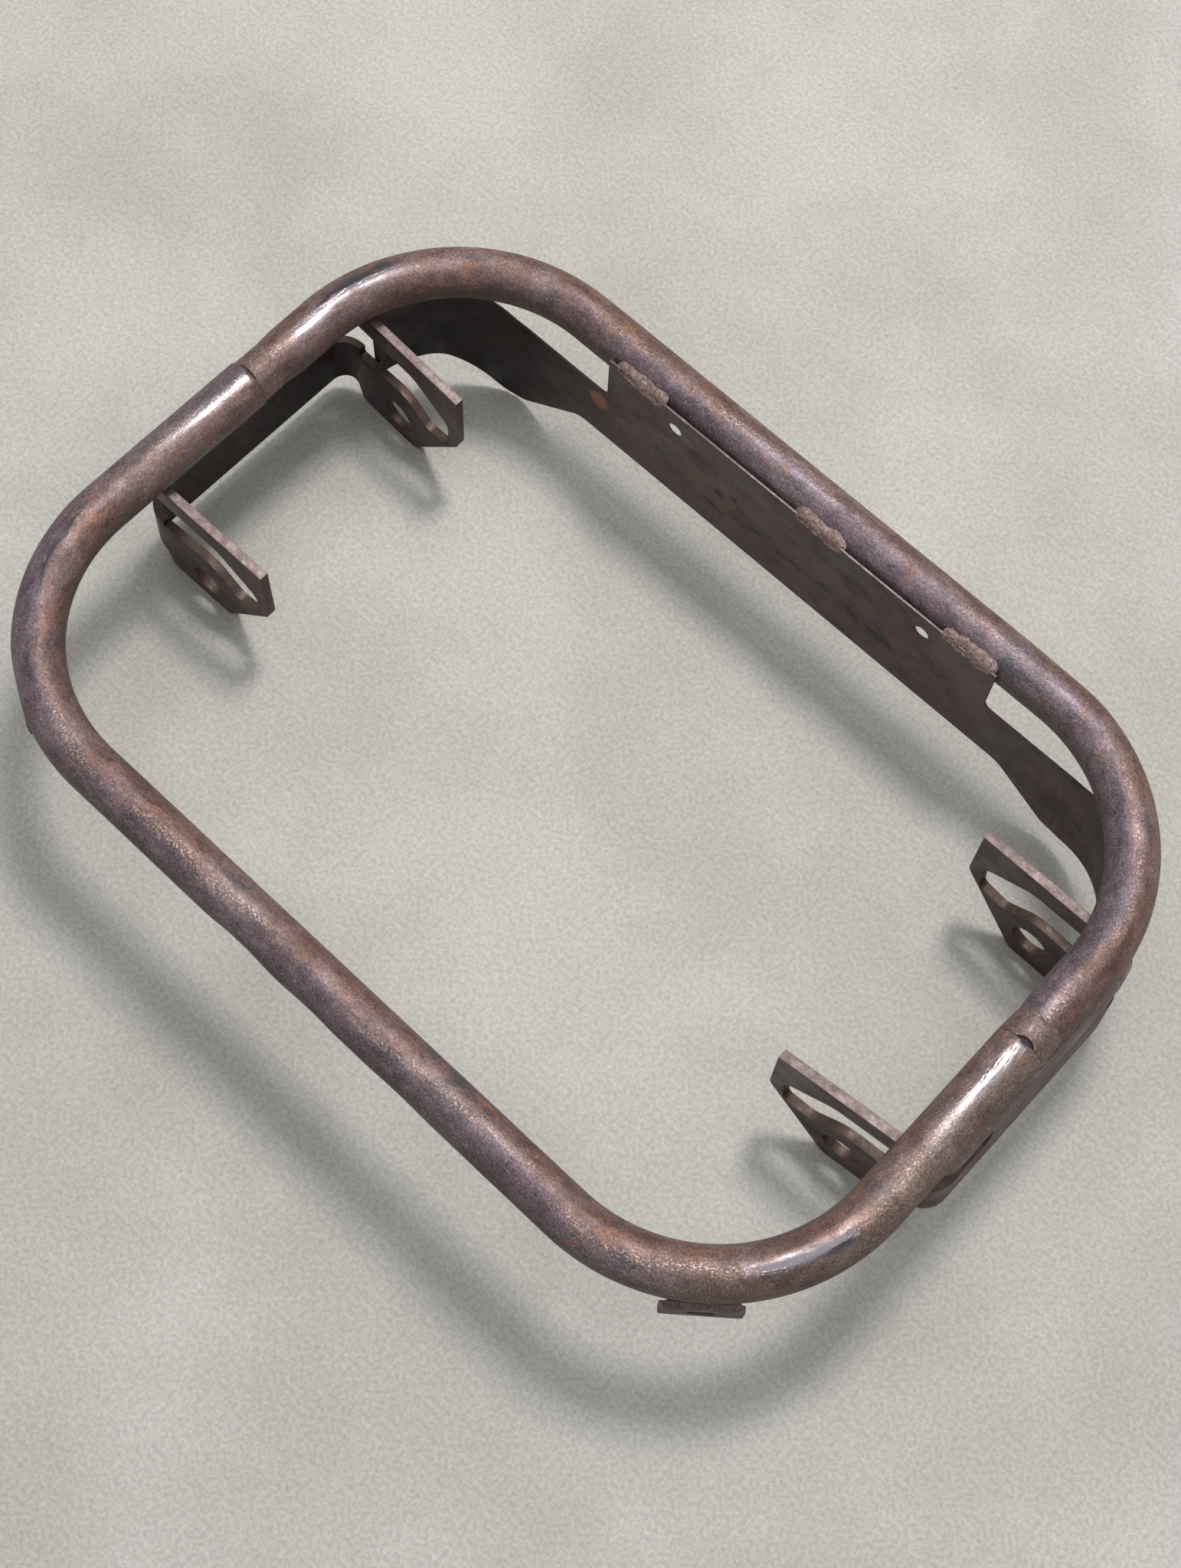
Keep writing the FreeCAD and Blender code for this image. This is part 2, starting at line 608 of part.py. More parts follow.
def primitive(kind, name, placement, **sizes):
    """A Part primitive with each size bound to a formula."""
    item = doc.addObject(kind, name)
    for key, formula in sizes.items():
        setattr(item, key, size(formula))
        item.setExpression(key, bound(formula))
    item.Placement = placement
    return item


def rod(name, radius, start, along):
    """A solid round bar from a point along a direction, longer than any bead."""
    turn = Rotation(Vector(0, 0, 1), Vector(along))
    return primitive("Part::Cylinder", name, Placement(Vector(start), turn), Radius=radius, Height="5 * spare")


def weld(label, radius, start, end, inward, cutters):
    """
    A tapered bead between two points, trimmed to sit on the surfaces of the pieces that it joins.
    The ellipsoid's seam is turned inward, towards the metal that is cut away.
    """
    start = Vector(start)
    along = Vector(end) - start
    turn = Rotation(Vector(inward), Vector(0, 0, 0), along, "ZXY")
    shape = primitive("Part::Ellipsoid", f"{label}_bead", Placement(start + along / 2, turn),
                      Radius1=f"{along.Length / 2:.3f}", Radius2=radius, Radius3=radius)
    for number, cutter in enumerate(cutters):
        cut = doc.addObject("Part::Cut", f"{label}_cut{number}")
        cut.Base = shape
        cut.Tool = cutter
        shape = cut
    shape.Label = label
    parts.append(shape)


def make_bracket_welds(side):
    """Two beads in the groove between a web's upper edge and the tube, ahead of and behind the joint."""
    sign = SIDES[side]
    axis = sign * size("half_length")
    out = axis + sign * size("web_inset + 0.55 * bracket_plate")
    up = size("tube_height - web_top_drop + small_bead_size / 2")
    bracket = doc.getObject(f"{side}_side_bracket")
    for end, (first, last) in BRACKET_BEADS.items():
        label = f"{side}_bracket_{end}_weld"
        bar = rod(f"{label}_bar", "tube_diameter / 2", (axis, first - size("spare"), size("tube_height")), (0, 1, 0))
        weld(label, "small_bead_size", (out, first, up), (out, last, up), (-sign, 0, 0.5), [bar, bracket])


def make_plate_welds():
    """Three beads that hold the rear plate's upper edge to the tube, and one at the end of each wing."""
    y = size("half_width - tube_diameter / 2")
    z = size("tube_height + sheet_top_rise")
    plate = doc.getObject("rear_plate")
    for name, (first, last) in PLATE_BEADS.items():
        label = f"rear_plate_{name}_weld"
        base = (first - size("spare"), size("half_width"), size("tube_height"))
        bar = rod(f"{label}_bar", "tube_diameter / 2", base, (1, 0, 0))
        weld(label, "bead_size", (first, y, z), (last, y, z), (0, 1, -0.5), [bar, plate])
    for side, sign in SIDES.items():
        x = sign * size("sheet_reach - sheet_plate / 2 - 0.7 * small_bead_size")
        y = size(f"{side}_rear - {side}_rear_splay * (half_length + web_inset - sheet_reach) - wing_weld_depth")
        bracket = doc.getObject(f"{side}_side_bracket")
        low, high = WING_BEAD
        weld(f"{side}_wing_weld", "small_bead_size", (x, y, low), (x, y, high), (sign, -1, 0), [bracket, plate])


def make_tab_weld(side):
    """Bead along a tab's upper edge, in the groove against the corner of the tube."""
    sign = SIDES[side]
    label = f"front_{side}_tab_weld"
    tab = doc.getObject(f"front_{side}_tab")
    place = on_front_corner(side)
    bead = size("small_bead_size")
    reach = (size("tab_width") - bead) / 2
    height = bead / 4 - size(f"{side}_tab_top_drop")
    start = place.multVec(Vector(-reach, -size("tab_plate") / 2, height))
    end = place.multVec(Vector(reach, -size("tab_plate") / 2, height))
    inward = place.Rotation.multVec(Vector(0, 1, 0))
    corner = Vector(sign * size("half_length - corner_radius"), -size("half_width - corner_radius"),
                    size("tube_height"))
    bend = primitive("Part::Torus", f"{label}_bend", Placement(corner, Rotation()),
                     Radius1="corner_radius", Radius2="tube_diameter / 2")
    weld(label, "small_bead_size", start, end, inward, [bend, tab])


make_front_hoop()
make_rear_hoop()
for name in SIDES:
    make_joint_weld(name)
    make_side_bracket(name)
make_rear_plate()
for name in SIDES:
    make_front_tab(name)
doc.recompute()
for name in SIDES:
    make_bracket_welds(name)
    make_tab_weld(name)
make_plate_welds()
doc.removeObject(ruler.Name)
doc.recompute()

for item in doc.Objects:
    if "Invalid" in item.State or "Error" in item.State:
        raise RuntimeError(f"{item.Name} did not build: {item.State}")
for part in parts:
    if part.Shape.isNull() or not part.Shape.isValid():
        raise RuntimeError(f"{part.Label} has no valid shape")

os.makedirs("parts", exist_ok=True)
for part in parts:
    box = part.Shape.BoundBox
    print(f"{part.Label}: {len(part.Shape.Solids)} solid, {part.Shape.Volume:.0f} mm3, "
          f"x {box.XMin:.1f}..{box.XMax:.1f}, y {box.YMin:.1f}..{box.YMax:.1f}, z {box.ZMin:.1f}..{box.ZMax:.1f}")
    part.Shape.exportStep(f"parts/{part.Label}.step")
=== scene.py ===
import math
import random

import bmesh
import bpy
from mathutils import Euler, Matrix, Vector, noise


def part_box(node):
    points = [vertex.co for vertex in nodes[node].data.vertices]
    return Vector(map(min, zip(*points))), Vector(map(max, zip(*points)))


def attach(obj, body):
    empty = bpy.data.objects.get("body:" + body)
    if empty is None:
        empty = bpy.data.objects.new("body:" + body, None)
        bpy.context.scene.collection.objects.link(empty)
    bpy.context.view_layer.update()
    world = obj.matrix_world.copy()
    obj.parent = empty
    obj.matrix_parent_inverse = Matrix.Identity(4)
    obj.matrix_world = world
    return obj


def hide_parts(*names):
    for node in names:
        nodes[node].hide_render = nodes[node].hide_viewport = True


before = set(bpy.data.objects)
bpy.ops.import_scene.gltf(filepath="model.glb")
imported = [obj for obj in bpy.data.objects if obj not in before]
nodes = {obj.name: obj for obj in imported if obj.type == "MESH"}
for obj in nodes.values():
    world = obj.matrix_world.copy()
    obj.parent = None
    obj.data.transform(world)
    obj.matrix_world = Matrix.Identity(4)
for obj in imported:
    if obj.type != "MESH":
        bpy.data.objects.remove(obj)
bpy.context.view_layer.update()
scene = bpy.context.scene

MM = 0.001
SIDES = {"left": -1, "right": 1}

# The hoop's centreline and section, as the CAD has them.
TUBE_RADIUS = 12.7 * MM
TUBE_HEIGHT = 100 * MM
HALF_LENGTH = 243.6 * MM
HALF_WIDTH = 166.8 * MM
CORNER_RADIUS = 95 * MM
SEAM = 23 * MM
NECK_RADIUS = 11.1 * MM
SOCKET_RADIUS = 11.2 * MM
NECK_START = 50 * MM
NECK_END = 29 * MM
NECK_TIP = 5 * MM
LIP = 0.35 * MM         # rounding of the front half's end faces

# Where a bracket's flat ears end and its flat web starts, as distances from the middle plane, in metres.
EAR_END = 0.2405
WEB_START = 0.2535
# The rear plate's straight part ends here; its wings follow.
PLATE_STRAIGHT = 0.177


# ---------------------------------------------------------------- materials

class Look:
    """
    A material's node graph, built one call at a time. Sizes of noise, spots and bumps are in millimetres;
    the axes give metres.
    """

    def __init__(self, name):
        self.material = bpy.data.materials.new(name)
        self.material.use_nodes = True
        self.tree = self.material.node_tree
        self.tree.nodes.clear()
        self.shader = self.node("ShaderNodeBsdfPrincipled")
        output = self.node("ShaderNodeOutputMaterial")
        self.link(self.shader.outputs[0], output.inputs["Surface"])
        self.place = self.node("ShaderNodeTexCoord").outputs["Object"]

    def node(self, kind, **settings):
        item = self.tree.nodes.new(kind)
        for key, value in settings.items():
            setattr(item, key, value)
        return item

    def link(self, source, target):
        self.tree.links.new(source, target)

    def feed(self, value, target):
        if isinstance(value, bpy.types.NodeSocket):
            self.link(value, target)
        elif hasattr(target.default_value, "__len__"):
            target.default_value = tuple(value) + (1,) * (len(target.default_value) - len(value))
        else:
            target.default_value = value

    def attribute(self, name):
        return self.node("ShaderNodeAttribute", attribute_name=name).outputs["Vector"]

    def stretched(self, stretch, shift=(0, 0, 0), place=None):
        mapping = self.node("ShaderNodeMapping")
        self.link(place or self.place, mapping.inputs["Vector"])
        mapping.inputs["Location"].default_value = shift
        mapping.inputs["Scale"].default_value = [1 / amount for amount in stretch]
        return mapping.outputs[0]

    def noise(self, size, detail=3, roughness=0.55, distortion=0.0, place=None):
        item = self.node("ShaderNodeTexNoise")
        self.link(place or self.place, item.inputs["Vector"])
        self.feed(1000 / size, item.inputs["Scale"])
        self.feed(detail, item.inputs["Detail"])
        self.feed(roughness, item.inputs["Roughness"])
        self.feed(distortion, item.inputs["Distortion"])
        return item.outputs["Fac"]

    def math(self, operation, first, second=0.0, clamp=False):
        item = self.node("ShaderNodeMath", operation=operation, use_clamp=clamp)
        self.feed(first, item.inputs[0])
        self.feed(second, item.inputs[1])
        return item.outputs[0]

    def window(self, value, low, high, bottom=0.0, top=1.0):
        """Rises smoothly from bottom to top as the value goes from low to high."""
        item = self.node("ShaderNodeMapRange", interpolation_type="SMOOTHSTEP")
        self.feed(value, item.inputs["Value"])
        for key, setting in (("From Min", low), ("From Max", high), ("To Min", bottom), ("To Max", top)):
            item.inputs[key].default_value = setting
        return item.outputs[0]

    def band(self, value, low, high, soft):
        """1 between low and high, falling to 0 over the soft distance on both sides."""
        rise = self.window(value, low - soft, low + soft)
        return self.math("MULTIPLY", rise, self.window(value, high - soft, high + soft, 1.0, 0.0))

    def mix(self, factor, first, second, blend="MIX"):
        item = self.node("ShaderNodeMix", data_type="RGBA", blend_type=blend)
        self.feed(factor, item.inputs[0])
        self.feed(first, item.inputs[6])
        self.feed(second, item.inputs[7])
        return item.outputs[2]

    def times(self, first, second):
        return self.math("MULTIPLY", first, second)

    def coat(self, colour, mask, strength, tint):
        """Lays a tint over a colour where the mask is; strength is the cover where the mask is 1."""
        return self.mix(self.times(mask, strength), colour, tint)

    def shade(self, colour, factor):
        """Makes a colour darker or paler by a factor."""
        return self.mix(1.0, colour, factor, "MULTIPLY")

    def axis(self, name, place=None):
        item = self.node("ShaderNodeSeparateXYZ")
        self.link(place or self.place, item.inputs[0])
        return item.outputs[name]

    def normal(self, name):
        item = self.node("ShaderNodeSeparateXYZ")
        self.link(self.node("ShaderNodeNewGeometry").outputs["Normal"], item.inputs[0])
        return item.outputs[name]

    def spot(self, centre, radius, ragged=0.5, size=4.0):
        """A ragged round mark about a point, 1 in its middle."""
        item = self.node("ShaderNodeVectorMath", operation="DISTANCE")
        self.link(self.place, item.inputs[0])
        item.inputs[1].default_value = [value * MM for value in centre]
        far = self.math("DIVIDE", item.outputs["Value"], radius * MM)
        wobble = self.math("MULTIPLY", self.noise(size, 4, 0.65), ragged * 2)
        return self.window(self.math("ADD", far, wobble), 0.75 + ragged, 1.1 + ragged, 1.0, 0.0)

    def bump(self, height, depth, under=None):
        """Raises the surface by a height map; depth is in millimetres."""
        item = self.node("ShaderNodeBump")
        item.inputs["Strength"].default_value = 1.0
        item.inputs["Distance"].default_value = depth * MM
        self.link(height, item.inputs["Height"])
        if under:
            self.link(under, item.inputs["Normal"])
        return item.outputs[0]

    def finish(self, colour, roughness, metallic, normal):
        self.feed(colour, self.shader.inputs["Base Color"])
        self.feed(roughness, self.shader.inputs["Roughness"])
        self.feed(metallic, self.shader.inputs["Metallic"])
        self.link(normal, self.shader.inputs["Normal"])
        return self.material


# Linear colours. A pair gives the two clouds of a patina.
TUBE_WARM = (0.160, 0.086, 0.070), (0.196, 0.128, 0.114)
TUBE_VIOLET = (0.128, 0.090, 0.112), (0.172, 0.128, 0.150)
TUBE_OLIVE = (0.140, 0.092, 0.070), (0.200, 0.146, 0.116)
TUBE_SMOKE = (0.070, 0.066, 0.080)
TUBE_RUST = (0.300, 0.140, 0.068)
TUBE_SIDE_RUST_AND_SHADE = (0.074, 0.046, 0.034)
TUBE_SCUFF_GLINT = (0.60, 0.46, 0.38)
TUBE_SHEEN = (0.46, 0.43, 0.48)
TUBE_DUST = (0.46, 0.35, 0.26)
TUBE_PIT = (0.035, 0.026, 0.024)
TUBE_POLISH = (0.150, 0.140, 0.160)
GAP_SHADE = (0.012, 0.009, 0.008)
SHEET_PATINA = (0.112, 0.060, 0.053), (0.088, 0.058, 0.067)
SHEET_PALE = (0.142, 0.100, 0.100)
SHEET_SMUDGE = (0.042, 0.027, 0.031)
SHEET_RUST = (0.170, 0.082, 0.052)
SHEET_DROP = (0.014, 0.014, 0.018)
SHEET_STREAK = (0.030, 0.025, 0.027)
SHEET_CHIP = (0.026, 0.022, 0.024)
SHEET_SPECK = (0.36, 0.30, 0.27)
WEB_BROWN = (0.130, 0.078, 0.058)
EDGE_LIT_TOP = (0.200, 0.148, 0.146)
EDGE_BROWN_AND_SHADE = (0.060, 0.034, 0.024)
EDGE_BURN = (0.095, 0.055, 0.042)
EDGE_SCRATCH = (0.46, 0.38, 0.36)
WELD_CLOUDS = (0.158, 0.094, 0.078), (0.192, 0.134, 0.126)
WELD_HOLLOW = (0.070, 0.046, 0.040)
WELD_CREST = (0.46, 0.35, 0.29)
FLOOR_CLOUDS = (0.405, 0.390, 0.352), (0.490, 0.475, 0.435)

# Polished spots of the hoop: (point on the tube, reach), in millimetres.
FRONT_LEFT_POLISH = (-240, -108, 112), 30
FRONT_RIGHT_POLISH = (231, -110, 112), 26
REAR_LEFT_POLISH = (-240, 86, 112), 34

# Marks on the rear plate: (point, reach, colour), in millimetres.
PLATE_MARKS = [
    ((-128, 152, 64), 6.5, (0.38, 0.135, 0.060)),
    ((-47, 152, 69), 3.2, (0.016, 0.016, 0.020)),
    ((-37, 152, 74), 2.2, (0.016, 0.016, 0.020)),
    ((-32, 152, 69), 4.0, (0.052, 0.048, 0.034)),
]


class Tube(Look):
    """
    Bare tube: warm and violet patina, a flecked ridge that is partly a painted highlight, painted sheen on
    the violet side, smoky stains, rust, flanks darkened by painted shade and partly rust, and a few polished
    stretches.
    Its "lay" attribute gives each point the distance along the tube and the offsets outwards and up.
    """

    def __init__(self, name, front):
        super().__init__(name)
        self.front = front
        self.lay = self.attribute("lay")
        self.right = self.axis("X")
        self.back = self.axis("Y")
        turn = self.math("ARCTAN2", self.axis("Z", self.lay), self.axis("Y", self.lay))
        self.turn = self.times(turn, 180 / math.pi)
        sway = self.noise(60, 3, 0.5, 0.0, self.stretched((1, 1, 1), (2, 0, 1)))
        self.ridge = self.math("ADD", self.turn, self.window(sway, 0.3, 0.7, -17, 17))

    def along(self, size, detail, roughness, distortion, stretch, shift=(0, 0, 0)):
        """Noise drawn out along the tube by the stretch."""
        place = self.stretched((stretch, 1, 1), shift, self.lay)
        return self.noise(size, detail, roughness, distortion, place)

    def patina(self):
        """The ground colour and the share of it that is violet, which changes round the tube."""
        clouds = self.window(self.noise(36, 5, 0.6, 0.6), 0.38, 0.62)
        warm = self.mix(clouds, *TUBE_WARM)
        cool = self.mix(clouds, *TUBE_VIOLET)
        if self.front:
            cool = self.mix(self.window(self.right, 0.17, 0.225), cool, self.mix(clouds, *TUBE_OLIVE))
            share = self.window(self.ridge, 62, 108, 0.85, 0.10)
        else:
            share = self.window(self.ridge, 66, 112, 0.05, 0.90)
            share = self.times(share, self.window(self.right, -0.20, -0.11, 0.25, 1.0))
        mottle = self.along(7, 6, 0.68, 0.5, 1.8, (0, 3, 1))
        colour = self.shade(self.mix(share, warm, cool), self.window(mottle, 0.30, 0.70, 0.60, 1.28))
        return colour, share

    def stains(self, colour):
        """Smoky stains, rust and darker flanks, which are painted shade and partly rust; gives back the
        colour and the rust's mask.
        """
        smoke = self.window(self.along(15, 5, 0.66, 0.7, 2.6, (0.3, 0, 2)), 0.55, 0.68)
        colour = self.coat(colour, smoke, 0.72, TUBE_SMOKE)
        rust = self.window(self.along(8, 6, 0.7, 0.4, 1.6, (0.1, 0.2, 0.9)), 0.53, 0.66)
        rust = self.times(rust, self.window(self.noise(48, 2), 0.46, 0.60))
        colour = self.coat(colour, rust, 0.62, TUBE_RUST)
        # Painted shade, partly rust: the flanks turn dark brown away from the top of the tube.
        from_top = self.math("ABSOLUTE", self.math("SUBTRACT", self.turn, 90.0))
        return self.mix(self.window(from_top, 46, 86, 0.0, 0.62), colour, TUBE_SIDE_RUST_AND_SHADE), rust

    def flecks(self, colour, violet_share):
        """Bright flecks on the ridge, partly scuffed grains and partly a painted highlight, painted sheen on
        the violet side and dust; gives back the flecks' mask too.
        """
        # Partly painted highlight: pale flecks only on the crown, along the key light's streak; partly
        # scuffed metal grains.
        scuff_glint = self.window(self.along(0.9, 3, 0.6, 0.0, 1.4, (1, 4, 2)), 0.50, 0.62)
        on_ridge = self.band(self.ridge, 74, 100, 15) if self.front else self.band(self.ridge, 70, 92, 15)
        patchy = self.window(self.along(20, 4, 0.6, 0.4, 3, (0, 2, 2)), 0.40, 0.58)
        scuff_glint = self.times(scuff_glint, self.times(on_ridge, patchy))
        colour = self.coat(colour, scuff_glint, 0.60 if self.front else 0.42, TUBE_SCUFF_GLINT)
        # Painted sheen: pale bluish glints over the violet side of the tube.
        violet_sheen = self.window(self.noise(0.9, 3, 0.6, 0.0, self.stretched((1, 1, 1), (5, 0, 3))), 0.57, 0.66)
        colour = self.coat(colour, self.times(violet_sheen, violet_share), 0.34, TUBE_SHEEN)
        dust = self.window(self.along(1.5, 3, 0.7, 0.3, 1.6, (3, 1, 7)), 0.61, 0.72)
        settled = self.noise(26, 3, 0.6, 0.0, self.stretched((1, 1, 1), (8, 1, 0)))
        dust = self.times(dust, self.window(settled, 0.42, 0.62, 0.25, 1.0))
        return self.coat(colour, dust, 0.60, TUBE_DUST), scuff_glint

    def polish(self):
        """Mask of the rubbed stretches on the crown, by the seam and at the corners."""
        crown = self.band(self.ridge, 74, 106, 13)
        wear = self.window(self.along(6, 4, 0.6, 0.5, 5, (0, 1, 0)), 0.32, 0.50)
        if self.front:
            by_seam = self.window(self.back, -0.060, 0.0)
            by_seam = self.times(by_seam, self.window(self.right, 0.0, 0.001, 0.8, 1.0))
            corner = self.times(self.spot(*FRONT_LEFT_POLISH, 0.25, 14), self.band(self.ridge, 58, 88, 9))
            worn = self.math("MAXIMUM", by_seam, corner)
            worn = self.math("MAXIMUM", worn, self.spot(*FRONT_RIGHT_POLISH, 0.25, 14))
        else:
            worn = self.spot(*REAR_LEFT_POLISH, 0.25, 14)
        return self.times(worn, self.times(crown, wear))

    def build(self):
        colour, violet_share = self.patina()
        colour, rust = self.stains(colour)
        colour, scuff_glint = self.flecks(colour, violet_share)
        grain = self.noise(1.0, 4, 0.72)
        colour = self.shade(colour, self.window(grain, 0.30, 0.70, 0.54, 1.50))
        pits = self.window(self.noise(1.6, 3, 0.65, 0.2, self.stretched((1, 1, 1), (6, 6, 1))), 0.63, 0.74)
        colour = self.coat(colour, pits, 0.70, TUBE_PIT)
        worn = self.polish()
        colour = self.coat(colour, worn, 0.85, TUBE_POLISH)

        shine = self.window(self.along(12, 4, 0.6, 0.3, 3, (2, 2, 0)), 0.32, 0.68, 0.42, 0.60)
        shine = self.math("SUBTRACT", shine, self.times(scuff_glint, 0.12))
        shine = self.math("ADD", shine, self.times(rust, 0.12))
        shine = self.math("SUBTRACT", shine, self.times(worn, 0.38), clamp=True)
        metal = self.math("ADD", 0.34, self.times(scuff_glint, 0.30))
        metal = self.math("ADD", metal, self.times(worn, 0.45), clamp=True)
        if not self.front:
            # Painted shade: near-black on the drawn neck just behind the front half's end face, in the seam's
            # gap.
            gap_shade_line = self.window(self.noise(3, 4, 0.7), 0.2, 0.8, 0.0275, 0.0310)
            gap_shade = self.math("LESS_THAN", self.back, gap_shade_line)
            colour = self.coat(colour, gap_shade, 0.93, GAP_SHADE)
            metal = self.times(metal, self.math("SUBTRACT", 1.0, gap_shade))
            shine = self.math("ADD", shine, self.times(gap_shade, 0.3))

        calm = self.math("SUBTRACT", 1.0, self.times(worn, 0.85))
        peel = self.along(3.0, 3, 0.55, 0.2, 1.5, (0, 0, 4))
        rough = self.math("ADD", self.times(grain, 0.40), self.times(pits, -0.6))
        rough = self.math("ADD", rough, self.times(scuff_glint, 0.35))
        normal = self.bump(self.along(11, 3, 0.5, 0.2, 2.5), 0.30)
        normal = self.bump(self.times(peel, calm), 0.22, normal)
        normal = self.bump(self.times(rough, calm), 0.13, normal)
        return self.finish(colour, shine, metal, normal)


def plate_drops(look, colour):
    """A ragged line of dark drops along the rear plate, below its holes."""
    sway = look.window(look.noise(70, 2), 0.3, 0.7, -0.008, 0.008)
    line = look.band(look.math("ADD", look.axis("Z"), sway), 0.055, 0.066, 0.004)
    drops = look.noise(7, 5, 0.72, 0.6, look.stretched((1.8, 1, 1), (2, 0, 0)))
    drops = look.times(look.window(drops, 0.54, 0.60), line)
    drops = look.times(drops, look.window(look.axis("X"), 0.10, 0.13, 1, 0))
    return look.coat(colour, drops, 0.85, SHEET_DROP)


def bracket_tint_and_painted_shade(look, colour):
    """Browner outsides of the webs, and painted shade: darker ear fronts and darker insides of the webs."""
    outside = look.window(look.math("ABSOLUTE", look.axis("X")), 0.250, 0.256)
    colour = look.coat(colour, outside, 0.6, WEB_BROWN)
    # Painted shade on the ear fronts, the faces that look forward.
    colour = look.shade(colour, look.window(look.normal("Y"), -0.95, -0.40, 0.85, 1.0))
    # Painted shade on the faces that look in towards the middle.
    inward = look.times(look.axis("X"), look.normal("X"))
    return look.shade(colour, look.window(inward, -0.20, -0.04, 0.16, 1.0))


def sheet_look(name, plate):
    """Dark mill sheet: violet-brown with smoky smudges, marks, rust and small chips, with painted shade
    towards the plate's left wing and on the brackets' ear fronts and web insides.
    """
    look = Look(name)
    clouds = look.window(look.noise(30, 5, 0.62, 0.7), 0.38, 0.62)
    colour = look.mix(clouds, *SHEET_PATINA)
    pale = look.noise(24, 4, 0.6, 0.5, look.stretched((2.2, 2.2, 1), (3, 2, 1)))
    pale = look.window(pale, 0.46, 0.66)
    if plate:
        pale = look.times(pale, look.window(look.axis("Z"), 0.058, 0.084, 0.25, 1.0))
    colour = look.coat(colour, pale, 0.55, SHEET_PALE)
    smudge = look.noise(17, 5, 0.64, 0.6, look.stretched((2.6, 2.6, 1), (1, 1, 4)))
    colour = look.coat(colour, look.window(smudge, 0.50, 0.63), 0.62, SHEET_SMUDGE)
    rust = look.noise(12, 5, 0.68, 0.4, look.stretched((1.5, 1.5, 1), (3, 0, 1)))
    colour = look.mix(look.window(rust, 0.56, 0.72, 0.0, 0.50), colour, SHEET_RUST)
    if plate:
        colour = plate_drops(look, colour)
    streak = look.noise(2.8, 5, 0.7, 0.6, look.stretched((7, 7, 1), (0, 0, 0.4)))
    colour = look.coat(colour, look.window(streak, 0.60, 0.72), 0.50, SHEET_STREAK)
    chips = look.noise(3.4, 4, 0.65, 0.5, look.stretched((1, 1, 1), (7, 7, 2)))
    chips = look.window(chips, 0.66, 0.73)
    colour = look.coat(colour, chips, 0.75, SHEET_CHIP)
    if plate:
        for centre, reach, tint in PLATE_MARKS:
            colour = look.coat(colour, look.spot(centre, reach), 0.85, tint)
        # Painted shade: the plate darkens towards its left wing.
        colour = look.shade(colour, look.window(look.axis("X"), -0.205, -0.090, 0.20, 1.0))
    else:
        colour = bracket_tint_and_painted_shade(look, colour)
    grain = look.noise(1.1, 4, 0.7)
    colour = look.shade(colour, look.window(grain, 0.30, 0.70, 0.62, 1.38))
    specks = look.noise(1.3, 2, 0.5, 0, look.stretched((1, 1, 1), (9, 2, 5)))
    colour = look.coat(colour, look.window(specks, 0.72, 0.79), 0.55, SHEET_SPECK)
    shine = look.window(look.noise(16, 4, 0.6, 0.3), 0.3, 0.7, 0.42, 0.62)
    normal = look.bump(look.noise(26, 2, 0.5, 0.2, look.stretched((2, 2, 1))), 0.5)
    rough = look.math("ADD", look.times(grain, 0.6), look.times(chips, -0.8))
    normal = look.bump(rough, 0.10, normal)
    return look.finish(colour, shine, 0.30, normal)


def edge_look(name):
    """Sheared and cut edges: pale where they face up high on a part, a painted light; dark brown elsewhere
    and inside holes and slots, partly painted shade.
    """
    look = Look(name)
    # Painted light: edges facing up, high on the part, turn pale and show their pale scratches more.
    lift = look.window(look.normal("Z"), 0.25, 0.8)
    lift = look.times(lift, look.window(look.axis("Z"), 0.068, 0.080, 0.12, 1.0))
    colour = look.mix(lift, EDGE_BROWN_AND_SHADE, EDGE_LIT_TOP)
    burn = look.window(look.noise(4, 5, 0.70, 0.5), 0.40, 0.62)
    colour = look.coat(colour, burn, 0.58, EDGE_BURN)
    scratches = look.window(look.noise(1.0, 4, 0.7, 0.2, look.stretched((5, 5, 1))), 0.55, 0.70)
    colour = look.coat(colour, scratches, look.window(lift, 0, 1, 0.12, 0.45), EDGE_SCRATCH)
    shine = look.window(look.noise(6, 3, 0.6), 0.3, 0.7, 0.42, 0.62)
    normal = look.bump(look.noise(1.2, 4, 0.65, 0, look.stretched((1, 1, 3))), 0.12)
    return look.finish(colour, shine, 0.5, normal)


def weld_look(name):
    """Rusted weld metal, the tube's own colours with dark hollows and pale crests."""
    look = Look(name)
    clouds = look.window(look.noise(7, 5, 0.62, 0.5), 0.36, 0.64)
    colour = look.mix(clouds, *WELD_CLOUDS)
    hollow = look.window(look.noise(2.6, 5, 0.68, 0.4), 0.50, 0.66)
    colour = look.coat(colour, hollow, 0.68, WELD_HOLLOW)
    crest = look.noise(1.6, 4, 0.68, 0.3, look.stretched((1, 1, 1), (4, 4, 4)))
    colour = look.coat(colour, look.window(crest, 0.56, 0.68), 0.60, WELD_CREST)
    grain = look.noise(0.9, 4, 0.7)
    colour = look.shade(colour, look.window(grain, 0.3, 0.7, 0.65, 1.35))
    shine = look.window(look.noise(3, 3, 0.6), 0.3, 0.7, 0.38, 0.60)
    normal = look.bump(look.noise(2.2, 4, 0.6), 0.35)
    normal = look.bump(grain, 0.16, normal)
    return look.finish(colour, shine, 0.42, normal)


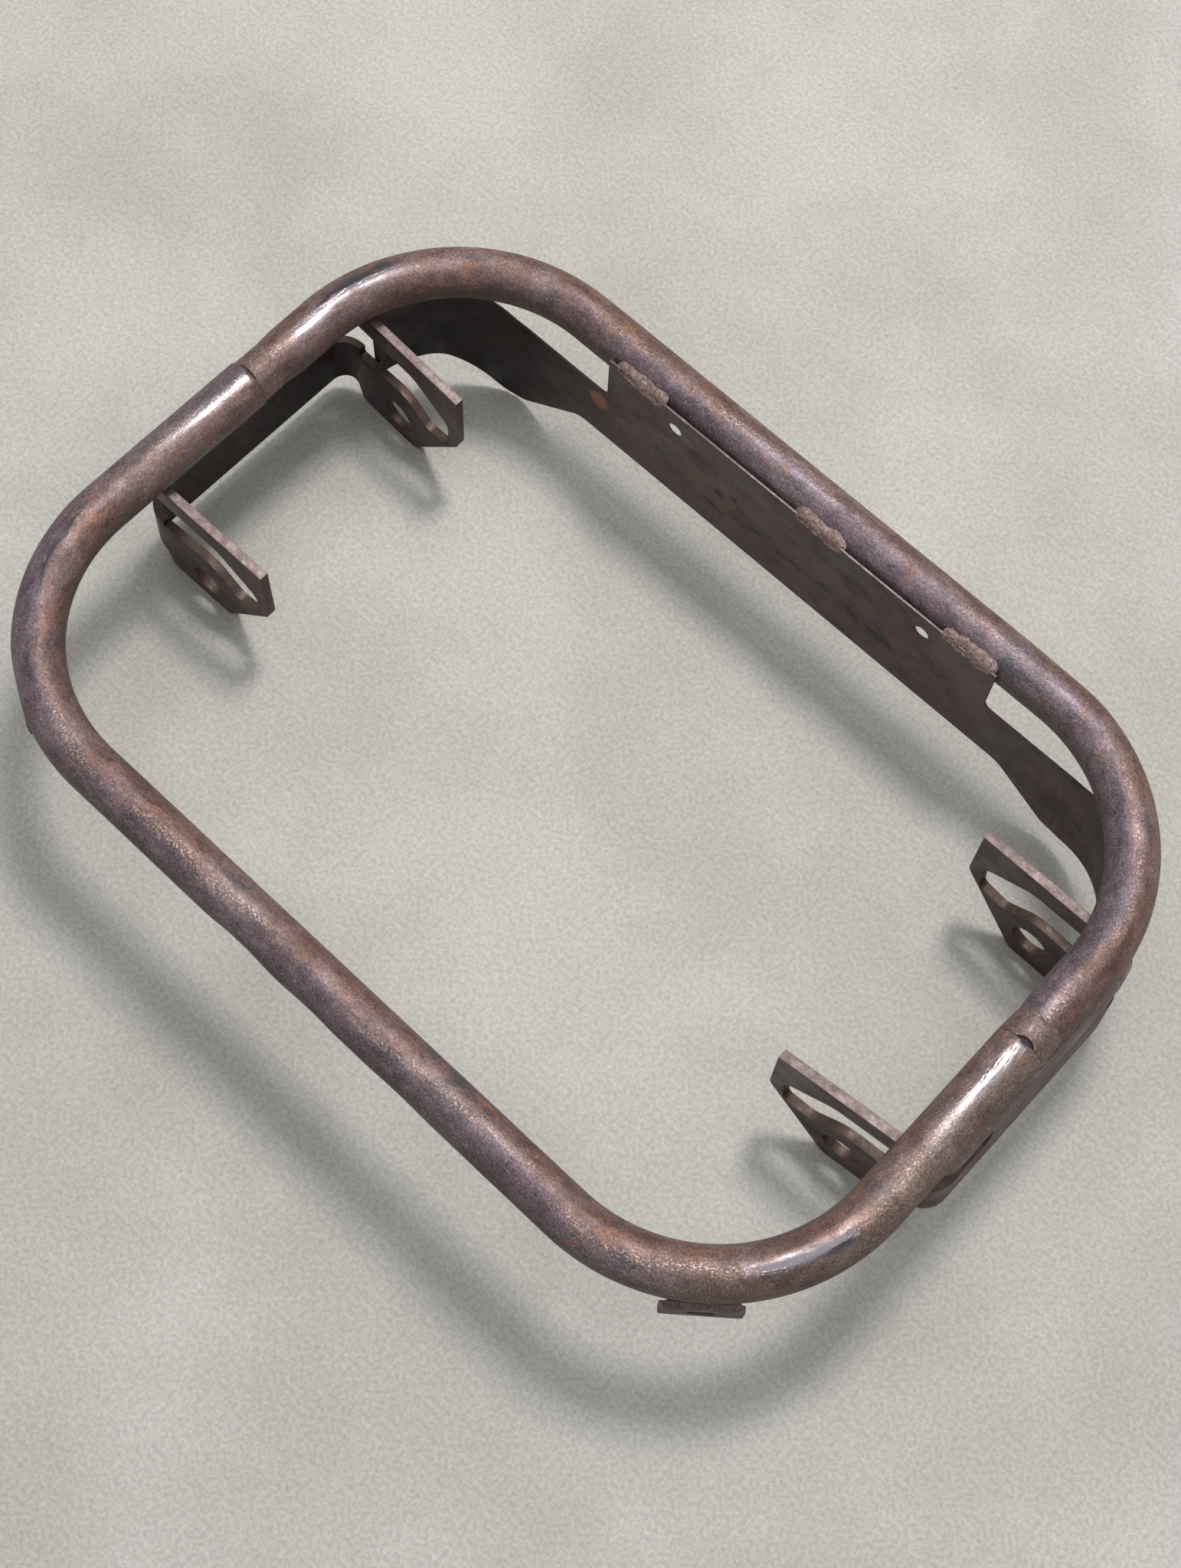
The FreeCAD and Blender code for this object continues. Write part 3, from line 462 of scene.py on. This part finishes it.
def floor_look():
    """Plain pale floor with faint clouds and a fine grain."""
    look = Look("pale_floor")
    clouds = look.window(look.noise(160, 5, 0.6), 0.3, 0.7)
    grain = look.window(look.noise(2.2, 4, 0.7), 0.3, 0.7, 0.84, 1.16)
    colour = look.shade(look.mix(clouds, *FLOOR_CLOUDS), grain)
    normal = look.bump(look.noise(3, 4, 0.6), 0.2)
    return look.finish(colour, 0.8, 0.0, normal)


# ---------------------------------------------------------------- meshes

def new_piece(name, vertices, faces, look):
    mesh = bpy.data.meshes.new(name)
    mesh.from_pydata(vertices, [], faces)
    mesh.materials.append(look)
    mesh.polygons.foreach_set("use_smooth", [True] * len(mesh.polygons))
    mesh.update()
    piece = bpy.data.objects.new(name, mesh)
    scene.collection.objects.link(piece)
    return piece


def keep(piece, slot, *stands_for):
    """Fixes a piece to the part and hides the CAD nodes it stands for; its slot is not used."""
    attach(piece, "root")
    if stands_for:
        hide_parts(*stands_for)
    return piece


def ripple(point, size, seed=0.0):
    """Smooth noise between -1 and 1; size is the length of its waves in metres."""
    return noise.noise(Vector(point) / size + Vector((seed, seed * 1.7, seed * 0.6)))


def skin_round(name, rings, look, closed_run=False):
    """A closed skin through rings that all have the same number of points."""
    around = len(rings[0])
    vertices = [point for ring in rings for point in ring]
    faces = []
    for ring in range(len(rings) - (0 if closed_run else 1)):
        low = ring * around
        high = ((ring + 1) % len(rings)) * around
        for step in range(around):
            after = (step + 1) % around
            faces.append((low + step, low + after, high + after, high + step))
    if not closed_run:
        faces.append(tuple(range(around))[::-1])
        faces.append(tuple(range(len(vertices) - around, len(vertices))))
    piece = new_piece(name, vertices, faces, look)
    bm = bmesh.new()
    bm.from_mesh(piece.data)
    bmesh.ops.recalc_face_normals(bm, faces=bm.faces)
    bm.to_mesh(piece.data)
    bm.free()
    return piece


def hoop_point(front, travel):
    """A point on the centreline of half the hoop and its direction, by distance from the left seam."""
    sign = -1 if front else 1
    straight = HALF_WIDTH - CORNER_RADIUS
    first = straight - sign * SEAM
    bend = CORNER_RADIUS * math.pi / 2
    long_side = 2 * (HALF_LENGTH - CORNER_RADIUS)
    total = 2 * first + 2 * bend + long_side
    mirrored = travel > total / 2
    if mirrored:
        travel = total - travel
    if travel < first:
        place = Vector((-HALF_LENGTH, SEAM + sign * travel, TUBE_HEIGHT))
        along = Vector((0, sign, 0))
    elif travel < first + bend:
        angle = (travel - first) / CORNER_RADIUS
        centre = Vector((CORNER_RADIUS - HALF_LENGTH, sign * straight, TUBE_HEIGHT))
        place = centre + CORNER_RADIUS * Vector((-math.cos(angle), sign * math.sin(angle), 0))
        along = Vector((math.sin(angle), sign * math.cos(angle), 0))
    else:
        place = Vector((CORNER_RADIUS - HALF_LENGTH + travel - first - bend, sign * HALF_WIDTH, TUBE_HEIGHT))
        along = Vector((1, 0, 0))
    if mirrored:
        place.x = -place.x
        along = Vector((along.x, -along.y, 0))
    return place, along, total


def sweep(name, rings, around, look):
    """A closed skin through rings of (centre, outward, radius of each angle, distance along)."""
    vertices = []
    lay = []
    for centre, outward, radius, travel in rings:
        for step in range(around):
            angle = 2 * math.pi * step / around
            reach = radius(angle) if callable(radius) else radius
            across = math.cos(angle) * reach
            up = math.sin(angle) * reach
            vertices.append(centre + outward * across + Vector((0, 0, up)))
            lay.append((travel, across, up))
    skins = [vertices[index:index + around] for index in range(0, len(vertices), around)]
    piece = skin_round(name, skins, look)
    store = piece.data.attributes.new("lay", "FLOAT_VECTOR", "POINT")
    store.data.foreach_set("vector", [value for spot in lay for value in spot])
    for face in piece.data.polygons:
        if len(face.vertices) > 4:
            face.use_smooth = False
    return piece


def dented(place, outward, radius, dents):
    """Radius of the tube at each angle: a little uneven, with the given dents."""
    def at(angle):
        spot = place + outward * (math.cos(angle) * radius) + Vector((0, 0, math.sin(angle) * radius))
        worn = 0.10 * MM * (1 + ripple(spot, 0.045, 3)) + 0.05 * MM * (1 + ripple(spot, 0.014, 8))
        for centre, size, depth in dents:
            away = (spot - Vector(centre) * MM).length / (size * MM)
            if away < 1:
                worn += depth * MM * (1 - away * away) ** 2
        return radius - worn
    return at


# Flats and knocks that show in the hoop's outline: (point on the tube, reach, depth), in millimetres.
DENTS = [
    ((-40, -179, 98), 24, 0.9),
    ((4, -179, 98), 18, 0.5),
    ((-203, -165, 98), 22, 0.8),
    ((60, -179.5, 104), 22, 0.4),
    ((150, 178, 104), 24, 0.5),
    ((246, 92, 110), 18, 0.4),
]
RING_STEP = 3 * MM
AROUND = 56             # points round the tube
SOCKET = 20 * MM        # depth of the front half's open ends that is drawn


def build_front_hoop(look):
    """The front half, with open ends at the seams."""
    _, _, total = hoop_point(True, 0)
    count = round(total / RING_STEP)
    rings = []
    first, _, _ = hoop_point(True, 0)
    outward = Vector((-1, 0, 0))
    rings.append((first - Vector((0, SOCKET, 0)), outward, SOCKET_RADIUS, SOCKET))
    rings.append((first, outward, SOCKET_RADIUS, 0))
    rings.append((first, outward, TUBE_RADIUS - LIP, 0))
    for number in range(count + 1):
        travel = total * number / count
        place, along, _ = hoop_point(True, travel)
        outward = Vector((along.y, -along.x, 0))
        if number in (0, count):
            travel += LIP if number == 0 else -LIP
            place.y -= LIP
        rings.append((place, outward, dented(place, outward, TUBE_RADIUS, DENTS), travel))
    last, _, _ = hoop_point(True, total)
    outward = Vector((1, 0, 0))
    rings.append((last, outward, TUBE_RADIUS - LIP, total))
    rings.append((last, outward, SOCKET_RADIUS, total))
    rings.append((last - Vector((0, SOCKET, 0)), outward, SOCKET_RADIUS, total - SOCKET))
    return sweep("front_tube", rings, AROUND, look)


def neck_radius(y):
    """Outside radius of the rear half near its drawn ends, by distance behind the middle."""
    share = min(max((y - NECK_END) / (NECK_START - NECK_END), 0), 1)
    share = share * share * (3 - 2 * share)
    return NECK_RADIUS + (TUBE_RADIUS - NECK_RADIUS) * share


def build_rear_hoop(look):
    """The rear half, whose drawn ends go into the front half. They are smooth inside it."""
    _, _, total = hoop_point(False, 0)
    lead = SEAM - NECK_TIP
    count = round((total + 2 * lead) / RING_STEP)
    rings = []
    for number in range(count + 1):
        travel = (total + 2 * lead) * number / count - lead
        inside = min(max(travel, 0), total)
        place, along, _ = hoop_point(False, inside)
        place.y -= max(-travel, travel - total, 0)
        outward = Vector((-along.y, along.x, 0))
        if place.y < NECK_START:
            radius = neck_radius(place.y)
            if place.y > SEAM + 4 * MM:
                radius = dented(place, outward, radius, ())
        else:
            radius = dented(place, outward, TUBE_RADIUS, DENTS)
        rings.append((place, outward, radius, travel))
    return sweep("rear_tube", rings, AROUND, look)


LOBE_PITCH = 6.0        # of a weld bead, in millimetres
BEAD_STEP = 0.35 * MM
BEAD_AROUND = 40
FILL_STEPS = 150


def bead(name, start, end, half_width, height, up, look, seed):
    """
    A run of weld between two points: flat lobes of different lengths that overlap and fold over each other,
    with small rims, ragged sides and tapered ends. Half width and height are in millimetres.
    """
    rng = random.Random(seed)
    along = end - start
    length = along.length
    along.normalize()
    side = along.cross(up).normalized()
    over = side.cross(along).normalized()
    lobes = []
    place = 0.25 * LOBE_PITCH * MM
    while place < length:
        reach = LOBE_PITCH * MM * rng.uniform(0.50, 0.95)
        lobes.append((place, rng.uniform(-0.32, 0.32), reach, rng.uniform(0.72, 1.0), rng.uniform(0.70, 1.0)))
        place += LOBE_PITCH * MM * rng.uniform(0.50, 1.0)
    count = round(length / BEAD_STEP)
    rings = []
    for number in range(count + 1):
        travel = length * number / count
        edge = min(travel, length - travel)
        taper = math.sqrt(max(1 - (1 - min(edge / (half_width * MM * 1.2), 1)) ** 2, 0.0009))
        spot = start + along * travel
        uneven = 1 + 0.24 * ripple(spot, 0.006, seed) + 0.12 * ripple(spot, 0.002, seed + 1)
        wide = half_width * MM * taper * uneven
        shift = side * (0.30 * half_width * MM * ripple(spot, 0.010, seed + 4))
        ring = []
        for step in range(BEAD_AROUND):
            angle = 2 * math.pi * step / BEAD_AROUND
            across = math.cos(angle)
            lift = math.sin(angle)
            rise = 0.30
            for centre, offset, reach, breadth, tall in lobes:
                away = math.hypot((travel - centre) / reach, (across - offset) / breadth)
                if away < 1:
                    rim = 0.16 * math.exp(-((away - 0.72) / 0.16) ** 2)
                    rise = max(rise, tall * (math.sqrt(1 - away ** 3) * 0.92 + rim))
            point = spot + shift + side * (across * wide)
            point += over * (lift * height * MM * taper * (rise if lift > 0 else 0.5))
            if lift > 0:
                point += over * (0.16 * height * MM * taper * ripple(point, 0.0016, seed + 6))
                point += side * (0.07 * half_width * MM * taper * ripple(point, 0.0023, seed + 7))
            ring.append(point)
        rings.append(ring)
    return skin_round(name, rings, look)


def joint_fill(side, look, mouth, proud, seed):
    """
    The weld behind the front half's end face. It lies against that face except in the mouth, an open crescent
    on top given as (first angle, last angle, depth); proud is its height over the drawn neck at the face.
    """
    sign = SIDES[side]
    first, last, depth = mouth
    rings = []
    for step in range(FILL_STEPS):
        degrees = 360 * step / FILL_STEPS
        angle = math.radians(degrees)
        outward = Vector((sign * math.cos(angle), 0, math.sin(angle)))
        axis_point = Vector((sign * HALF_LENGTH, SEAM, TUBE_HEIGHT))
        spot = axis_point + outward * NECK_RADIUS
        share = (degrees - first) / (last - first)
        opening = 0.0
        if 0 < share < 1:
            opening = depth * MM * (4 * share * (1 - share)) ** 0.6
            opening *= 1 + 0.35 * ripple(spot, 0.0018, seed) + 0.25 * ripple(spot, 0.0045, seed + 1)
        front = 0.05 * MM + opening
        back = (14 + 2.4 * ripple(spot, 0.009, seed + 2)) * MM
        top = proud * MM * (1 + 0.22 * ripple(spot, 0.006, seed + 3))
        middle = 0.5 * (front + back)
        profile = (
            (front, -0.5 * MM),
            (front, 0.5 * top),
            (front + 0.15 * MM, 0.85 * top),
            (front + 0.7 * MM, top),
            (front + 1.5 * MM, 1.03 * top),
            (front + 2.4 * MM, 0.94 * top),
            (middle + 0.6 * MM, 0.80 * top),
            (0.2 * front + 0.8 * back, 0.48 * top),
            (back, 0.12 * top),
            (back + 0.8 * MM, -0.5 * MM),
            (middle, -0.7 * MM),
        )
        ring = []
        for y, radius in profile:
            neck = neck_radius(SEAM + y)
            point = axis_point + Vector((0, y, 0)) + outward * (neck + radius)
            if radius > 0:
                point += outward * (0.16 * MM * ripple(point, 0.0026, seed + 5))
                point += outward * (0.07 * MM * ripple(point, 0.0011, seed + 6))
            ring.append(point)
        rings.append(ring)
    return skin_round(f"{side}_joint_fill", rings, look, closed_run=True)


FLAT_ANGLE = math.radians(0.6)     # faces that differ less are joined
SHARP_ANGLE = math.radians(35)     # edges sharper than this are rounded off
CREASE_ANGLE = math.radians(28)    # edges sharper than this stay creased in the shading


def worn_sheet(node, face_look, rim_look, round_off, is_rim):
    """A copy of a sheet part with its sharp edges rounded off and its cut edges given their own look."""
    source = nodes[node]
    bm = bmesh.new()
    bm.from_mesh(source.data)
    bmesh.ops.remove_doubles(bm, verts=bm.verts, dist=1e-6)
    bmesh.ops.dissolve_limit(bm, angle_limit=FLAT_ANGLE, verts=bm.verts, edges=bm.edges)
    paired = [edge for edge in bm.edges if len(edge.link_faces) == 2]
    sharp = [edge for edge in paired if edge.calc_face_angle(0) > SHARP_ANGLE]
    bmesh.ops.bevel(bm, geom=sharp, offset=round_off * MM, offset_type="OFFSET", segments=2, profile=0.5,
                    affect="EDGES", clamp_overlap=True)
    for face in bm.faces:
        face.smooth = True
        face.material_index = 1 if is_rim(face) else 0
    mesh = bpy.data.meshes.new(f"{node}_worn")
    bm.to_mesh(mesh)
    bm.free()
    mesh.materials.append(face_look)
    mesh.materials.append(rim_look)
    mesh.set_sharp_from_angle(angle=CREASE_ANGLE)
    piece = bpy.data.objects.new(f"{node}_worn", mesh)
    scene.collection.objects.link(piece)
    return piece


# ---------------------------------------------------------------- the object

# Rounding of the sheets' edges, in millimetres.
BRACKET_ROUNDING = 0.45
TAB_ROUNDING = 0.4
PLATE_ROUNDING = 0.3

# A face is a cut edge where its normal rises more than EDGE_RISE, or has less than EDGE_SKIN through
# the sheet.
EDGE_RISE = 0.30
EDGE_SKIN = 0.6

# The seams' welds: the mouth as joint_fill takes it, the height in millimetres and a seed.
SEAM_WELDS = {"right": ((62, 112, 2.1), 1.25, 5), "left": ((58, 124, 0.9), 0.75, 9)}

# Half width and height of the beads, in millimetres.
PLATE_BEAD = 3.8, 1.4
BRACKET_BEAD = 2.4, 1.1
WING_BEAD = 2.2, 1.2
TAB_BEAD = 2.4, 1.5

weld_metal = weld_look("weld_metal")
bracket_sheet = sheet_look("bracket_patina", plate=False)
plate_sheet = sheet_look("plate_patina", plate=True)
cut_edge = edge_look("cut_edge")

keep(build_front_hoop(Tube("front_tube_patina", front=True).build()), "tube_steel", "front_hoop_tube")
keep(build_rear_hoop(Tube("rear_tube_patina", front=False).build()), "tube_steel", "rear_hoop_tube")


def bracket_edge(face):
    """True on a bracket's cut edges; its bends count as skin except on top and underneath."""
    centre = face.calc_center_median()
    normal = face.normal
    if abs(normal.z) > EDGE_RISE:
        return True
    if abs(centre.x) < EAR_END:
        return abs(normal.y) < EDGE_SKIN
    if abs(centre.x) > WEB_START:
        return abs(normal.x) < EDGE_SKIN
    return False


def plate_edge(face):
    """True on the rear plate's cut edges; the ends of its wings count as skin."""
    centre = face.calc_center_median()
    normal = face.normal
    if abs(normal.z) > EDGE_RISE:
        return True
    return abs(centre.x) < PLATE_STRAIGHT and abs(normal.y) < EDGE_SKIN


def tab_edge(face):
    return abs(face.normal.z) > 0.5


for side in SIDES:
    keep(worn_sheet(f"{side}_side_bracket", bracket_sheet, cut_edge, BRACKET_ROUNDING, bracket_edge),
         "plate_steel", f"{side}_side_bracket")
    keep(worn_sheet(f"front_{side}_tab", bracket_sheet, cut_edge, TAB_ROUNDING, tab_edge),
         "plate_steel", f"front_{side}_tab")
keep(worn_sheet("rear_plate", plate_sheet, cut_edge, PLATE_ROUNDING, plate_edge), "plate_steel", "rear_plate")

for side, (mouth, proud, seed) in SEAM_WELDS.items():
    keep(joint_fill(side, weld_metal, mouth, proud, seed), "weld_steel", f"{side}_joint_weld")


def bead_over(node, name, half_width, height, up, seed):
    """A bead in the place of a CAD bead, along the CAD bead's longest side."""
    low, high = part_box(node)
    middle = (low + high) / 2
    axis = max(range(3), key=lambda index: high[index] - low[index])
    start = middle.copy()
    end = middle.copy()
    start[axis] = low[axis] + 0.3 * MM
    end[axis] = high[axis] - 0.3 * MM
    piece = bead(name, start, end, half_width, height, Vector(up).normalized(), weld_metal, seed)
    keep(piece, "weld_steel", node)


for number, spot in enumerate(("left", "centre", "right")):
    bead_over(f"rear_plate_{spot}_weld", f"plate_bead_{spot}", *PLATE_BEAD, (0, -0.45, 0.9), 11 + number)
for number, (side, sign) in enumerate(SIDES.items()):
    for end in ("front", "rear"):
        seed = 20 + 2 * number + (end == "rear")
        bead_over(f"{side}_bracket_{end}_weld", f"{side}_bracket_bead_{end}", *BRACKET_BEAD,
                  (sign * 0.8, 0, 0.6), seed)
    bead_over(f"{side}_wing_weld", f"{side}_wing_bead", *WING_BEAD, (-sign * 0.7, 0.7, 0), 30 + number)
    low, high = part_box(f"front_{side}_tab_weld")
    start = Vector((sign * max(abs(low.x), abs(high.x)), high.y, (low.z + high.z) / 2))
    end = Vector((sign * min(abs(low.x), abs(high.x)), low.y, (low.z + high.z) / 2))
    up = Vector((sign * 0.5, -0.5, 0.7)).normalized()
    tab_bead = bead(f"{side}_tab_bead", start, end, *TAB_BEAD, up, weld_metal, 40 + number)
    keep(tab_bead, "weld_steel", f"front_{side}_tab_weld")


# ---------------------------------------------------------------- stage

FLOOR_HALF = 40.0
LIGHT_TARGET = Vector((0, 0, 0.08))
CAMERA_PLACE = (0.2753, -0.3264, 1.1027)
CAMERA_DEGREES = (21.762, -1.555, 43.123)
CAMERA_LENS = 54.14


def build_floor():
    half = FLOOR_HALF
    corners = [(-half, -half, 0), (half, -half, 0), (half, half, 0), (-half, half, 0)]
    floor = new_piece("floor", corners, [(0, 1, 2, 3)], floor_look())


def area_light(name, azimuth, elevation, distance, size, watts, tint):
    """A square light aimed at the object's middle; azimuth is counted from +X towards +Y."""
    turn = math.radians(azimuth)
    lift = math.radians(elevation)
    direction = Vector((math.cos(turn) * math.cos(lift), math.sin(turn) * math.cos(lift), math.sin(lift)))
    light = bpy.data.lights.new(name, "AREA")
    light.size = size
    light.energy = watts
    light.color = tint
    item = bpy.data.objects.new(name, light)
    item.location = LIGHT_TARGET + direction * distance
    item.rotation_euler = direction.to_track_quat("Z", "Y").to_euler()
    scene.collection.objects.link(item)


def build_camera():
    data = bpy.data.cameras.new("camera")
    data.sensor_width = 36
    data.lens = CAMERA_LENS
    camera = bpy.data.objects.new("camera", data)
    camera.location = CAMERA_PLACE
    camera.rotation_euler = Euler([math.radians(angle) for angle in CAMERA_DEGREES], "XYZ")
    scene.collection.objects.link(camera)
    scene.camera = camera


build_floor()
area_light("key", azimuth=103, elevation=70, distance=2.4, size=0.42, watts=34, tint=(1.0, 0.99, 0.97))
area_light("ceiling", azimuth=90, elevation=82, distance=2.8, size=3.0, watts=55, tint=(0.98, 0.99, 1.0))
world = bpy.data.worlds.new("room")
world.use_nodes = True
world.node_tree.nodes["Background"].inputs["Color"].default_value = (0.93, 0.96, 1.0, 1)
world.node_tree.nodes["Background"].inputs["Strength"].default_value = 0.26
scene.world = world
scene.view_settings.view_transform = "Standard"
build_camera()
